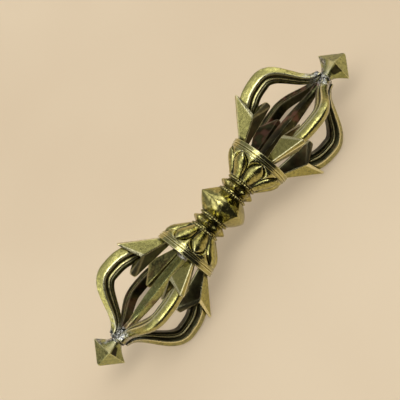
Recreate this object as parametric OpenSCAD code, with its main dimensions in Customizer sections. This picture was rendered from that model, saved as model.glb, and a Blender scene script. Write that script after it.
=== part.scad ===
// Five-pronged dorje (vajra) in cast brass, lying on its side, in millimetres with +Z up.
// The long axis runs along X. The four lower barbs touch the floor at z = 0.
// Each half is described by the distance x from the middle of the bead and the distance r from the axis.

/* [Bead] */
// Length of the bead along the axis
bead_length = 8.2; // [6:0.1:11]
// Axis to the four corners of the bead's girdle
bead_girdle_r = 9.6; // [7.5:0.1:12]
// How far the middle of each girdle side stands out beyond a straight side
bead_bulge_depth = 1.1; // [0.2:0.1:2]
// Axis to the four corners of the bead's two ends
bead_end_r = 5.4; // [4.6:0.1:6.4]

/* [Collars] */
// Length of a collar along the axis
collar_length = 5.3; // [4.6:0.1:8]
// Radius of the plain necks between the rings
collar_neck_r = 4.1; // [3.4:0.1:4.4]
// Radius of the two thin rings
thin_ring_r = 4.8; // [4.5:0.1:5.6]
// Length of a thin ring along the axis
thin_ring_length = 0.9; // [0.5:0.1:1.1]
// Radius of the lobed ring over its lobes
lobed_ring_r = 6.2; // [5.8:0.1:7.5]
// Length of the lobed ring along the axis
lobed_ring_length = 2.8; // [1.5:0.1:3.2]
// Number of lobes round the ring
lobes = 8; // [6:1:16]

/* [Lotus cups] */
// Length of a lotus cup along the axis
cup_length = 7.1; // [6:0.1:11]
// Radius of the cup at its narrow end
cup_root_r = 4.5; // [4:0.1:5.5]
// Radius of the cup at its wide end
cup_mouth_r = 9.3; // [8:0.1:9.8]
// Number of petals round the cup
petals = 8; // [6:1:12]
// How far a petal's crest stands above the grooves beside it
petal_relief = 1.5; // [0.6:0.05:1.8]
// Turn of the petals, the lobes and the bead about the axis, against the prongs
petal_turn = 12; // [-22:1:22]

/* [Rim plates] */
// Thickness of the plate that carries the prongs
rim_thickness = 2.4; // [1.8:0.1:4]
// Radius of the plate
rim_r = 10; // [9.9:0.1:12]
// Distance of the groove from the plate's outer face
rim_groove_at = 1.3; // [0.6:0.05:1.5]
// Width and depth of the groove round the plate
rim_groove = 0.3; // [0.15:0.05:0.45]

/* [Barbs] */
// Axis to the outer edge of a barb where it stands on the rim plate
barb_root_out_r = 9.7; // [9.3:0.05:9.9]
// Axis to the inner edge of a barb where it stands on the rim plate
barb_root_in_r = 5.9; // [5.4:0.05:6.1]
// Half the width of a barb where it stands on the rim plate
barb_root_half = 1.5; // [1.3:0.05:1.9]
// Rim plate to the tip of the outer lip
outer_lip_at = 9.2; // [8.6:0.1:10]
// How far the tip of the outer lip stands out beyond the crowns of the arms
outer_lip_height = 0.3; // [0:0.1:2]
// Rim plate to the corners of the mouth
mouth_corner_at = 7; // [6.4:0.1:8]
// Axis to the corners of the mouth, measured in the plane of the prong
mouth_corner_r = 11.3; // [10.5:0.1:12.2]
// Half the width of the mouth between its corners
mouth_half = 3.6; // [3.2:0.1:4.2]
// Rim plate to the bottom of the mouth
mouth_floor_at = 5.6; // [5:0.1:6.2]
// Axis to the bottom of the mouth
mouth_floor_r = 11.2; // [10.6:0.1:11.8]
// Half the width of the mouth at its bottom
mouth_floor_half = 1.1; // [0.8:0.1:1.4]
// Rim plate to the end of the inner lip
inner_lip_at = 14; // [12.6:0.1:14.6]
// Axis to the underside of the inner lip at its end
inner_lip_r = 8.2; // [7.6:0.1:8.8]
// Thickness of the inner lip at its end
inner_lip_thickness = 2.1; // [1.6:0.1:2.4]
// Half the width of the blunt lip edges
lip_half = 0.7; // [0.55:0.05:0.9]
// Width of the flat edge round the mouth
lip_edge = 0.7; // [0.4:0.05:0.9]
// Width of the chamfer round the mouth of a bud
lip_chamfer = 0.4; // [0.2:0.05:0.45]

/* [Prong arms] */
// Rim plate to the ends of the prongs at the neck
cage_length = 31.3; // [29.5:0.1:37]
// Rim plate to the widest part of the arms
belly_at = 17.2; // [15.6:0.1:18.5]
// Axis to the crown of an arm at its widest part
belly_r = 18.6; // [17.4:0.1:20]
// Depth of an arm from its crown to its inner face, at the widest part
arm_depth = 5.9; // [4.6:0.1:6.4]
// Depth of an arm at its end
arm_end_depth = 2.3; // [1.6:0.1:2.6]
// Width of an arm at the widest part
arm_width = 3.9; // [3:0.1:4.4]
// Width of an arm at its end
arm_end_width = 2.8; // [1.8:0.1:3]
// Radius of the round tenon under each barb
prong_tenon_r = 0.9; // [0.6:0.05:1]

/* [Centre prongs and finials] */
// Half the diagonal of the four-sided spindle at the rim plate
spindle_root_r = 1.7; // [1.4:0.1:2]
// How far the spindle swells beyond a straight taper
spindle_swell = 0.7; // [0.2:0.05:1.2]
// Radius of the round neck that the prongs gather round
neck_r = 1.3; // [1:0.05:1.5]
// Length of the round neck inside the prong ends
neck_length = 5.4; // [4.5:0.1:8]
// Length of the finial from the solder to its girdle
finial_flare = 3.6; // [2.8:0.1:6]
// Length of the finial from its girdle to its apex
finial_point = 5.4; // [4:0.1:8]
// Half the diagonal of the finial at its girdle
girdle_r = 5.9; // [4.5:0.1:7]
// Radius of the finial where it leaves the neck
finial_root_r = 1.8; // [1.6:0.1:2.4]
// Radius of the blunt apex
apex_r = 0.4; // [0.2:0.05:0.8]
// Turn of the right centre prong about the axis, against the outer prongs
centre_turn_right = -28; // [-45:1:45]
// Turn of the left centre prong about the axis, against the outer prongs
centre_turn_left = -16; // [-45:1:45]

/* [Rod and solder] */
// Radius of the rod through the hub, and of the centre prongs' tenons
rod_r = 1.1; // [0.8:0.05:1.3]
// How far a centre prong's tenon reaches into its cup
centre_tenon_in_cup = 2; // [1:0.1:4]
// Thickness of the solder behind the prong ends
tip_solder_length = 0.8; // [0.5:0.05:1.4]
// Radius of the solder behind the prong ends
tip_solder_r = 2.9; // [2.4:0.1:3.4]
// Height of the solder fillet round a centre prong's root
root_solder_height = 0.7; // [0.4:0.05:1.2]
// Width of that fillet on the rim plate
root_solder_width = 0.9; // [0.5:0.05:1.3]
// Clearance round a rod, tenon, neck or root in its hole
slip = 0.08; // [0.04:0.01:0.15]

/* [Hidden] */

LEFT = -1;
RIGHT = 1;
// Turns about the axis that bring a prong from straight up to its corner
TOP_FRONT_TURN = 45;
TOP_BACK_TURN = -45;
BOTTOM_FRONT_TURN = 135;
BOTTOM_BACK_TURN = -135;
ROUND = 96;
SQUARE = 4;
// Pieces overlap by this much where they are one casting
MERGE = 0.4;

// The stack from the middle outward
collar_start = bead_length / 2;
cup_start = collar_start + collar_length;
rim_start = cup_start + cup_length;
rim_face = rim_start + rim_thickness;
prong_end = rim_face + cage_length;
finial_start = prong_end + tip_solder_length;
girdle_at = finial_start + finial_flare;
apex_at = girdle_at + finial_point;
neck_start = prong_end - neck_length;
outer_lip_r = belly_r + outer_lip_height;
centre_tenon_end = rim_start - centre_tenon_in_cup;

// Half-section of an arm from the middle of its crown to the corner of its inner face.
// Each pair is a share of the depth above the arm's middle line and a share of the half width.
CROWN_SIDE = [[0.45, 0.26], [0.28, 0.63], [0.08, 1]];
MOULDING_SIDE = [[0, 0.74], [-0.13, 0.7], [-0.2, 0.86], [-0.26, 0.66]];
SLAB_SIDE = [[-0.31, 0.76], [-0.5, 0.7]];
ARM_SIDE = concat(CROWN_SIDE, MOULDING_SIDE, SLAB_SIDE);
ARM_SECTION = concat(
    [[0.5, 0]],
    ARM_SIDE,
    [for (i = [len(ARM_SIDE) - 1:-1:0]) [ARM_SIDE[i][0], -ARM_SIDE[i][1]]]
);

// The lowest point under a lower prong is the blunt edge of its outer lip or the shoulder of its crown
lip_reach = outer_lip_r + lip_half;
crown_reach = max([
    for (p = ARM_SECTION) belly_r + (p[0] - 0.5) * arm_depth + p[1] * arm_width / 2
]);
rest_height = max(lip_reach, crown_reach) * sin(45);

module half(side) {
    translate([0, 0, rest_height])
        mirror([side == LEFT ? 1 : 0, 0, 0])
            children();
}

module along_x(from) {
    translate([from, 0, 0])
        rotate([0, 90, 0])
            children();
}

// A revolved piece about the axis, from a profile of [r, x] points
module turned(profile) {
    rotate([0, 90, 0])
        rotate_extrude($fn = ROUND)
            polygon(profile);
}

module axis_bore(from, to) {
    along_x(from - MERGE)
        cylinder(h = to - from + 2 * MERGE, r = rod_r + slip, $fn = ROUND);
}

// A closed skin over rings of points: every ring has the same count, and both ends are capped
module skin(rings) {
    count = len(rings[0]);
    last = len(rings) - 1;
    walls = [
        for (i = [0:last - 1])
            for (j = [0:count - 1])
                let (a = i * count + j, b = i * count + (j + 1) % count)
                    each [[a, a + count, b], [b, a + count, b + count]]
    ];
    near_cap = [for (j = [0:count - 1]) j];
    far_cap = [for (j = [count - 1:-1:0]) last * count + j];
    polyhedron(
        points = [for (ring = rings) each ring],
        faces = concat(walls, [near_cap, far_cap]),
        convexity = 8
    );
}

module rod() {
    along_x(slip - centre_tenon_end)
        cylinder(h = 2 * (centre_tenon_end - slip), r = rod_r, $fn = ROUND);
}

// The bead's corners run straight from the girdle to the ends, and its sides swell like a barrel between them
BEAD_POINTS = 8;
BEAD_RINGS = 8;
BARREL_POWER = 1.8;
function bead_side_r(corner_r) = corner_r * cos(45) + bead_bulge_depth * corner_r / bead_girdle_r;
function bead_ring(k) =
    let (
        x = collar_start * (2 * k / BEAD_RINGS - 1),
        from_girdle = abs(2 * k / BEAD_RINGS - 1),
        corner_r = bead_girdle_r + (bead_end_r - bead_girdle_r) * from_girdle,
        girdle_side_r = bead_side_r(bead_girdle_r),
        end_side_r = bead_side_r(bead_end_r),
        side_r = girdle_side_r + (end_side_r - girdle_side_r) * pow(from_girdle, BARREL_POWER)
    )
        [
            for (i = [0:BEAD_POINTS - 1])
                let (
                    angle = 360 * i / BEAD_POINTS + petal_turn,
                    reach = i % 2 == 0 ? side_r : corner_r
                )
                    [x, reach * cos(angle), reach * sin(angle)]
        ];

module bead() {
    difference() {
        skin([for (k = [0:BEAD_RINGS]) bead_ring(k)]);
        axis_bore(-collar_start, collar_start);
    }
}

// A plain neck with two thin rings, and between them a sharp ring notched into lobes
module collar() {
    middle = collar_start + collar_length / 2;
    lobe_shoulder_r = collar_neck_r + (lobed_ring_r - collar_neck_r) / 2;
    lobe_r = lobe_shoulder_r * sin(180 / lobes) * 1.15;
    difference() {
        union() {
            along_x(collar_start)
                cylinder(h = collar_length, r = collar_neck_r, $fn = ROUND);
            for (ring_at = [collar_start, cup_start - thin_ring_length])
                thin_ring(ring_at);
            intersection() {
                turned([
                    [0, middle - lobed_ring_length / 2],
                    [lobe_shoulder_r, middle - lobed_ring_length / 2],
                    [lobed_ring_r, middle],
                    [lobe_shoulder_r, middle + lobed_ring_length / 2],
                    [0, middle + lobed_ring_length / 2]
                ]);
                along_x(middle - lobed_ring_length)
                    linear_extrude(2 * lobed_ring_length) {
                        circle(r = lobe_shoulder_r, $fn = ROUND);
                        for (i = [0:lobes - 1])
                            rotate(360 * i / lobes + petal_turn)
                                translate([lobed_ring_r - lobe_r, 0])
                                    circle(r = lobe_r, $fn = ROUND);
                    }
            }
        }
        axis_bore(collar_start, cup_start);
    }
}

module thin_ring(from) {
    bevel = thin_ring_length / 4;
    turned([
        [0, from],
        [thin_ring_r - bevel, from],
        [thin_ring_r, from + bevel],
        [thin_ring_r, from + thin_ring_length - bevel],
        [thin_ring_r - bevel, from + thin_ring_length],
        [0, from + thin_ring_length]
    ]);
}

// Petals: u runs from 0 at the narrow end of the cup to 1 at its wide end
CUP_RINGS = 12;
PETAL_STEPS = 8;
PETAL_WIDEST_SHARE = 0.55;
PETAL_TIP_SHARE = 0.97;
// Share of the way from a petal's widest place to its tip
function past_widest(u) = min(1, (u - PETAL_WIDEST_SHARE) / (PETAL_TIP_SHARE - PETAL_WIDEST_SHARE));
function petal_half(u) =
    u < PETAL_WIDEST_SHARE
        ? 0.84 + 0.12 * sin(90 * u / PETAL_WIDEST_SHARE)
        : 0.96 * pow(max(0.001, cos(90 * past_widest(u))), 0.7);
// A petal's plump section: 1 on its crest and 0 at its edges and beyond
function petal_swell(u, off_middle) = pow(max(0, 1 - pow(off_middle / petal_half(u), 2)), 0.6);
function petal_rise(u) = petal_relief * pow(max(0, sin(180 * pow(u, 0.9))), 0.7);
function cup_flare(u) = cup_root_r + (cup_mouth_r - cup_root_r) * pow(u, 0.9);
// The grooves sink below the plain flare by this share of the relief
GROOVE_SHARE = 0.25;
function cup_ring(u) = [
    for (i = [0:petals * PETAL_STEPS - 1])
        let (
            angle = 360 * i / (petals * PETAL_STEPS) + petal_turn,
            off_middle = abs((i % PETAL_STEPS) / PETAL_STEPS * 2 - 1),
            r = cup_flare(u) + petal_rise(u) * (petal_swell(u, off_middle) - GROOVE_SHARE)
        )
            [cup_start + u * cup_length, r * cos(angle), r * sin(angle)]
];

module lotus_cup() {
    difference() {
        skin([for (k = [0:CUP_RINGS]) cup_ring(k / CUP_RINGS)]);
        axis_bore(cup_start, rim_start);
    }
}

// Where the tenon of a prong stands, in the middle of the barb's root
tenon_at_r = (barb_root_out_r + barb_root_in_r) / 2;
tenon_length = rim_thickness - slip;

module rim_plate() {
    groove_from = rim_face - rim_groove_at - rim_groove;
    groove_to = rim_face - rim_groove_at;
    difference() {
        turned([
            [0, rim_start],
            [rim_r, rim_start],
            [rim_r, groove_from],
            [rim_r - rim_groove, (groove_from + groove_to) / 2],
            [rim_r, groove_to],
            [rim_r, rim_face],
            [0, rim_face]
        ]);
        axis_bore(rim_start, rim_face);
        for (turn = [TOP_FRONT_TURN, TOP_BACK_TURN, BOTTOM_FRONT_TURN, BOTTOM_BACK_TURN])
            rotate([turn, 0, 0])
                translate([0, 0, tenon_at_r])
                    along_x(rim_start - MERGE)
                        cylinder(h = rim_thickness + 2 * MERGE, r = prong_tenon_r + slip, $fn = ROUND);
    }
}

// A ring of six points about the plane of a prong, from its outer, side and inner points [x, sideways, r]
function barb_ring(outer, side, inner) =
    let (half_ring = [outer, side, inner])
        concat(
            [for (p = half_ring) [p[0], -p[1], p[2]]],
            [for (i = [2:-1:0]) half_ring[i]]
        );

// The barb is a four-ridged bud with an open mouth, whose edge runs from the outer lip past two corners
// to the inner lip
module barb() {
    tip = rim_face + outer_lip_at;
    corner = rim_face + mouth_corner_at;
    nose = rim_face + inner_lip_at;
    bottom = rim_face + mouth_floor_at;
    root_edge = lip_half / 2;
    skin([
        barb_ring(
            [rim_face, root_edge, barb_root_out_r],
            [rim_face, barb_root_half, tenon_at_r],
            [rim_face, root_edge, barb_root_in_r]
        ),
        barb_ring(
            [tip, lip_half, outer_lip_r],
            [corner, mouth_half, mouth_corner_r],
            [nose, lip_half, inner_lip_r]
        ),
        barb_ring(
            [tip + lip_chamfer, lip_half - lip_chamfer, outer_lip_r - lip_chamfer],
            [corner + lip_edge, mouth_half - lip_edge, mouth_corner_r + lip_chamfer],
            [nose, lip_half - lip_chamfer / 2, inner_lip_r + inner_lip_thickness]
        ),
        barb_ring(
            [bottom, mouth_floor_half / 2, mouth_floor_r + mouth_floor_half],
            [bottom, mouth_floor_half, mouth_floor_r],
            [bottom, mouth_floor_half / 2, mouth_floor_r - mouth_floor_half]
        )
    ]);
}

function bezier(p, t) =
    pow(1 - t, 3) * p[0] + 3 * pow(1 - t, 2) * t * p[1] + 3 * (1 - t) * pow(t, 2) * p[2] + pow(t, 3) * p[3];
function bezier_slope(p, t) =
    pow(1 - t, 2) * (p[1] - p[0]) + 2 * (1 - t) * t * (p[2] - p[1]) + pow(t, 2) * (p[3] - p[2]);

// The middle line of an arm in [x, r]: out of the mouth to the belly, then in an S to the neck
ROOT_PULL = 6;
ROOT_RISE_ANGLE = 42;
BELLY_PULL_IN = 6;
BELLY_PULL_OUT = 6.6;
END_PULL = 6.5;
ARM_ROOT_SINK = 0.6;
arm_root = [rim_face + mouth_floor_at - ARM_ROOT_SINK, mouth_floor_r - ARM_ROOT_SINK * 1.6];
arm_belly = [rim_face + belly_at, belly_r - arm_depth / 2];
arm_end = [prong_end, neck_r + slip + arm_end_depth / 2];
rise_line = [
    arm_root,
    arm_root + ROOT_PULL * [cos(ROOT_RISE_ANGLE), sin(ROOT_RISE_ANGLE)],
    arm_belly - [BELLY_PULL_IN, 0],
    arm_belly
];
fall_line = [
    arm_belly,
    arm_belly + [BELLY_PULL_OUT, 0],
    arm_end - [END_PULL, 0],
    arm_end
];
function arm_ring(line, t, depth, width) =
    let (
        at = bezier(line, t),
        slope = bezier_slope(line, t),
        along = slope / norm(slope)
    )
        [
            for (p = ARM_SECTION)
                [at[0] - along[1] * p[0] * depth, -p[1] * width / 2, at[1] + along[0] * p[0] * depth]
        ];

RISE_STEPS = 7;
FALL_STEPS = 14;
// The arm thickens from its root, and has its full section by this share of the rise
ROOT_SHARE = 0.3;
ROOT_GROWTH_SHARE = 0.45;
module arm() {
    rise = [
        for (k = [0:RISE_STEPS - 1])
            let (
                t = k / RISE_STEPS,
                share = ROOT_SHARE + (1 - ROOT_SHARE) * min(1, t / ROOT_GROWTH_SHARE)
            )
                arm_ring(rise_line, t, arm_depth * share, arm_width * share)
    ];
    fall = [
        for (k = [0:FALL_STEPS])
            let (t = k / FALL_STEPS)
                arm_ring(
                    fall_line, t,
                    arm_depth + (arm_end_depth - arm_depth) * t,
                    arm_width + (arm_end_width - arm_width) * t
                )
    ];
    skin(concat(rise, fall));
}

module prong(side, turn) {
    half(side)
        rotate([turn, 0, 0]) {
            arm();
            barb();
            translate([0, 0, tenon_at_r])
                along_x(rim_face - tenon_length)
                    cylinder(h = tenon_length + MERGE, r = prong_tenon_r, $fn = ROUND);
        }
}

// The finial flares from round at the neck to square at the girdle, and runs on to its point as a pyramid.
// Its ridges point toward the prongs.
FLARE_STEPS = 4;
FINIAL_POINTS = 24;
function finial_ring(x, r, squareness) = [
    for (i = [0:FINIAL_POINTS - 1])
        let (
            angle = 360 * i / FINIAL_POINTS,
            off_ridge = angle + 45 - 90 * floor((angle + 45) / 90),
            square = 1 / (cos(off_ridge) + sin(off_ridge)),
            reach = r * (1 - squareness + squareness * square)
        )
            [x, reach * cos(angle), reach * sin(angle)]
];
function flare_ring(u) =
    finial_ring(
        finial_start + u * finial_flare,
        finial_root_r + (girdle_r - finial_root_r) * pow(u, 1.4),
        1 - pow(1 - u, 2)
    );

// Four-sided spindle, round neck and pyramid finial in one casting, on a round tenon
SPINDLE_STEPS = 10;
module centre_prong(side) {
    spindle_length = neck_start - rim_face;
    spindle_end_r = neck_r - 2 * slip;
    spindle_profile = [
        for (k = [0:SPINDLE_STEPS])
            let (u = k / SPINDLE_STEPS)
                [
                    spindle_root_r + (spindle_end_r - spindle_root_r) * u + spindle_swell * sin(180 * u),
                    rim_face + u * spindle_length
                ]
    ];
    half(side) {
        along_x(centre_tenon_end)
            cylinder(h = rim_face - centre_tenon_end + MERGE, r = rod_r, $fn = ROUND);
        along_x(neck_start - MERGE)
            cylinder(h = finial_start - neck_start + 2 * MERGE, r = neck_r, $fn = ROUND);
        rotate([side == LEFT ? centre_turn_left : centre_turn_right, 0, 0]) {
            rotate([45, 0, 0])
                rotate([0, 90, 0])
                    rotate_extrude($fn = SQUARE)
                        polygon(concat([[0, rim_face]], spindle_profile, [[0, neck_start]]));
            skin(concat(
                [for (k = [0:FLARE_STEPS]) flare_ring(k / FLARE_STEPS)],
                [finial_ring(apex_at, apex_r, 0)]
            ));
        }
    }
}

// Solder run round the neck, behind the gathered prong ends
module tip_solder(side) {
    round_off = tip_solder_length / 2;
    half(side)
        difference() {
            turned([
                [0, prong_end],
                [tip_solder_r, prong_end],
                [tip_solder_r - round_off / 2, finial_start - round_off],
                [tip_solder_r - 2 * round_off, finial_start],
                [0, finial_start]
            ]);
            along_x(prong_end - MERGE)
                cylinder(h = tip_solder_length + 2 * MERGE, r = neck_r + slip, $fn = ROUND);
        }
}

// Solder fillet on the rim plate, round the foot of the spindle
module root_solder(side) {
    foot_r = spindle_root_r + spindle_swell / 2 + slip;
    half(side)
        turned([
            [foot_r, rim_face],
            [foot_r + root_solder_width, rim_face],
            [foot_r + root_solder_width / 3, rim_face + root_solder_height / 3],
            [foot_r, rim_face + root_solder_height]
        ]);
}

module core_rod() { color("peru") half(RIGHT) rod(); }
module centre_bead() { color("gold") half(RIGHT) bead(); }
module collar_left() { color("darkkhaki") half(LEFT) collar(); }
module collar_right() { color("darkkhaki") half(RIGHT) collar(); }
module lotus_cup_left() { color("goldenrod") half(LEFT) lotus_cup(); }
module lotus_cup_right() { color("goldenrod") half(RIGHT) lotus_cup(); }
module rim_plate_left() { color("khaki") half(LEFT) rim_plate(); }
module rim_plate_right() { color("khaki") half(RIGHT) rim_plate(); }
module centre_prong_left() { color("gold") centre_prong(LEFT); }
module centre_prong_right() { color("gold") centre_prong(RIGHT); }
module prong_left_top_front() { color("darkgoldenrod") prong(LEFT, TOP_FRONT_TURN); }
module prong_left_top_back() { color("darkgoldenrod") prong(LEFT, TOP_BACK_TURN); }
module prong_left_bottom_front() { color("darkgoldenrod") prong(LEFT, BOTTOM_FRONT_TURN); }
module prong_left_bottom_back() { color("darkgoldenrod") prong(LEFT, BOTTOM_BACK_TURN); }
module prong_right_top_front() { color("darkgoldenrod") prong(RIGHT, TOP_FRONT_TURN); }
module prong_right_top_back() { color("darkgoldenrod") prong(RIGHT, TOP_BACK_TURN); }
module prong_right_bottom_front() { color("darkgoldenrod") prong(RIGHT, BOTTOM_FRONT_TURN); }
module prong_right_bottom_back() { color("darkgoldenrod") prong(RIGHT, BOTTOM_BACK_TURN); }
module tip_solder_left() { color("silver") tip_solder(LEFT); }
module tip_solder_right() { color("silver") tip_solder(RIGHT); }
module root_solder_left() { color("silver") root_solder(LEFT); }
module root_solder_right() { color("silver") root_solder(RIGHT); }

core_rod();
centre_bead();
collar_left();
collar_right();
lotus_cup_left();
lotus_cup_right();
rim_plate_left();
rim_plate_right();
centre_prong_left();
centre_prong_right();
prong_left_top_front();
prong_left_top_back();
prong_left_bottom_front();
prong_left_bottom_back();
prong_right_top_front();
prong_right_top_back();
prong_right_bottom_front();
prong_right_bottom_back();
tip_solder_left();
tip_solder_right();
root_solder_left();
root_solder_right();
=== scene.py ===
"""Looks of a five-pronged brass dorje: cast and filed metal, casting skin and painted shade in the recesses, tin
solder.

Sizes are in millimetres unless a name says otherwise. Each half of the object is described by the distance x
from the middle of the bead, a sideways distance and the distance r from the long axis.
"""

import math

import bmesh
import bpy
import numpy as np
from mathutils import Matrix, Vector


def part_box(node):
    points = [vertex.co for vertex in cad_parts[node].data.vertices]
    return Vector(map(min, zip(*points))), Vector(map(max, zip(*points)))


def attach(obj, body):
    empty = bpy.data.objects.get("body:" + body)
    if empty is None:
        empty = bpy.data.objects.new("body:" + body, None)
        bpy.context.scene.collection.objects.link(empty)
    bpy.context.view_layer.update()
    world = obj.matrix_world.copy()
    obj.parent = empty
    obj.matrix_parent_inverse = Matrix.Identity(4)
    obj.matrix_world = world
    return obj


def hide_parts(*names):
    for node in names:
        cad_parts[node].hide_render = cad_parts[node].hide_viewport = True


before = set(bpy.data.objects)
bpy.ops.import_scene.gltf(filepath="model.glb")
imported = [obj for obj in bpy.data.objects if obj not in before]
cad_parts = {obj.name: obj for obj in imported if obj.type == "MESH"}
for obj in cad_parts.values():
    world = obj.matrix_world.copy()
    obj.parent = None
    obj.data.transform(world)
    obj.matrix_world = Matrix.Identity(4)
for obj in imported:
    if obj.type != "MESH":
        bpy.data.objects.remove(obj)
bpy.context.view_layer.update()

MM = 0.001
LEFT, RIGHT = -1, 1
SIDES = {"left": LEFT, "right": RIGHT}
# Turns about the long axis that bring a prong from straight up to its corner
TURNS = {"top_front": 45, "top_back": -45, "bottom_front": 135, "bottom_back": -135}


def span(node):
    """Lowest and highest corner of a CAD node in millimetres."""
    low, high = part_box(node)
    return np.array(low) / MM, np.array(high) / MM


# Places along the axis, from the frame
rod_low, rod_high = span("core_rod")
AXIS_Z = (rod_low[2] + rod_high[2]) / 2
BEAD_END = span("centre_bead")[1][0]
COLLAR_END = span("collar_right")[1][0]
RIM_START, RIM_FACE = span("rim_plate_right")[0][0], span("rim_plate_right")[1][0]
RIM_R = span("rim_plate_right")[1][1]
PRONG_END, FINIAL_START = span("tip_solder_right")[0][0], span("tip_solder_right")[1][0]
APEX = span("centre_prong_right")[1][0]

# Sizes that the frame's boxes don't give. They follow the part's source, but the bead's barrel, the rim's groove,
# the edge of the barbs' lips and the solder differ a little.
BEAD_GIRDLE_R = 9.6
BEAD_BOW = 1.1
BEAD_SIDE_SHARE = math.cos(math.pi / 4) + BEAD_BOW / BEAD_GIRDLE_R
BEAD_END_R = 5.4
BARREL_POWER = 1.6
BOW_POWER = 1.5
GIRDLE_EASE = 0.12
COLLAR_NECK_R = 4.1
THIN_RING_R = 4.8
THIN_RING_LENGTH = 0.9
LOBED_RING_R = 6.2
LOBED_RING_LENGTH = 2.8
LOBES = 8
CUP_ROOT_R = 4.5
CUP_MOUTH_R = 9.3
PETALS = 8
PETAL_TURN = math.radians(12)
RIM_GROOVE_AT = 1.45
BARB_ROOT_OUT_R = 9.7
BARB_ROOT_IN_R = 5.9
BARB_ROOT_HALF = 1.5
OUTER_LIP_AT, OUTER_LIP_R = 9.2, 18.9
MOUTH_CORNER_AT, MOUTH_CORNER_R = 7.0, 11.3
MOUTH_HALF = 3.6
MOUTH_FLOOR_AT, MOUTH_FLOOR_R, MOUTH_FLOOR_HALF = 5.6, 11.2, 1.1
INNER_LIP_AT, INNER_LIP_R, INNER_LIP_THICKNESS = 14.0, 8.2, 2.1
LIP_HALF = 0.7
LIP_EDGE = 1.0
LIP_FALL = 0.22
LIP_CHAMFER = 0.4
BELLY_AT, BELLY_R = 17.2, 18.6
ARM_DEPTH, ARM_END_DEPTH = 5.9, 2.3
ARM_WIDTH, ARM_END_WIDTH = 3.9, 2.8
SPINDLE_ROOT_R, SPINDLE_SWELL = 1.7, 0.7
NECK_R, NECK_LENGTH = 1.3, 5.4
FINIAL_FLARE = 3.6
GIRDLE_AT = FINIAL_START + FINIAL_FLARE
GIRDLE_R = 5.9
FINIAL_ROOT_R = 1.8
APEX_R = 0.4
CENTRE_TURN = {"left": -16, "right": -28}
SLIP = 0.08
SPINDLE_END_R = NECK_R - 2 * SLIP


# Shapes


def smoothstep(low, high, value):
    """0 at low, 1 at high and eased between them; low may be the greater."""
    t = np.clip((value - low) / (high - low), 0, 1)
    return t * t * (3 - 2 * t)


def band(value, rise_from, rise_to, fall_from, fall_to):
    """1 from rise_to to fall_from, and eased to 0 at rise_from and fall_to."""
    return smoothstep(rise_from, rise_to, value) * smoothstep(fall_to, fall_from, value)


HASH_STEPS = np.array([73856093, 19349663, 83492791])
HASH_SEED, HASH_MIX = 2654435761, 1274126177
SEED_SHIFT = 17.31


def value_noise(points, size, seed):
    """Smooth noise from -1 to 1 at points in millimetres, with lumps about size millimetres across."""
    p = points / size + seed * SEED_SHIFT
    cell = np.floor(p).astype(np.int64)
    t = p - cell
    t = t * t * (3 - 2 * t)
    total = np.zeros(len(points))
    for corner in range(8):
        step = np.array([corner & 1, corner >> 1 & 1, corner >> 2 & 1])
        key = (cell + step) @ HASH_STEPS + seed * HASH_SEED
        key = (key ^ (key >> 13)) * HASH_MIX & 0x7FFFFFFF
        key = (key ^ (key >> 16)) & 0xFFFF
        weight = np.prod(np.where(step, t, 1 - t), axis=1)
        total += weight * (key / 32767.5 - 1)
    return total


def rough_noise(points, size, seed):
    """Noise with lumps of two sizes, the smaller ones half as high."""
    return (value_noise(points, size, seed) + 0.5 * value_noise(points, size / 2.1, seed + 5)) / 1.5


def placed(points, side, turn=0.0):
    """Points of a half, [x, sideways, r], at their place on the object, still in millimetres."""
    c, s = math.cos(math.radians(turn)), math.sin(math.radians(turn))
    x, y, z = np.asarray(points, float).T
    return np.stack([side * x, c * y - s * z, s * y + c * z + AXIS_Z], axis=1)


def skin(rings):
    """Vertices and faces of a closed tube over rings of points, capped at both ends."""
    rings = np.asarray(rings, float)
    n_rings, count = rings.shape[:2]
    faces = []
    for i in range(n_rings - 1):
        for j in range(count):
            a, b = i * count + j, i * count + (j + 1) % count
            faces.append((a, b, b + count, a + count))
    faces.append(tuple(range(count - 1, -1, -1)))
    faces.append(tuple((n_rings - 1) * count + j for j in range(count)))
    return rings.reshape(-1, 3), faces


def turned_ring(x, reach, angles):
    """A ring about the axis at x, with its reach from the axis at the angles."""
    return np.stack([np.full(len(angles), x), reach * np.cos(angles), reach * np.sin(angles)], axis=1)


def turned_rings(stations, radius_at, angles):
    """Rings about the axis at the stations along it, with radius_at(station, angles) giving each ring's radii."""
    return np.array([turned_ring(x, radius_at(x, angles), angles) for x in stations])


def even_angles(steps):
    return np.linspace(0, 2 * math.pi, steps, endpoint=False)


def ridge_angles():
    """Angles round a four-ridged section, closer together at the ridges on the diagonals."""
    from_ridge = np.radians([0, 1.2, 3, 6, 11, 18, 27, 36])
    quarter = np.concatenate([from_ridge, [math.pi / 4], (math.pi / 2 - from_ridge)[:0:-1]])
    return np.concatenate([quarter + math.pi / 4 + k * math.pi / 2 for k in range(4)])


def ridged(angles, roundness):
    """Reach of a four-ridged section at the angles: roundness 1 is a square on its corner, and 2 is a circle."""
    c, s = np.abs(np.cos(angles - math.pi / 4)), np.abs(np.sin(angles - math.pi / 4))
    return (c ** roundness + s ** roundness) ** (-1 / roundness)


def closed_ends(rings, inner_r):
    """Rings with one more ring at each end, drawn in to inner_r so that the end faces are flat."""
    first, last = rings[0].copy(), rings[-1].copy()
    for ring in (first, last):
        flat = np.hypot(ring[:, 1], ring[:, 2])
        ring[:, 1:] *= (inner_r / flat)[:, None]
    return np.concatenate([[first], rings, [last]])


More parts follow.
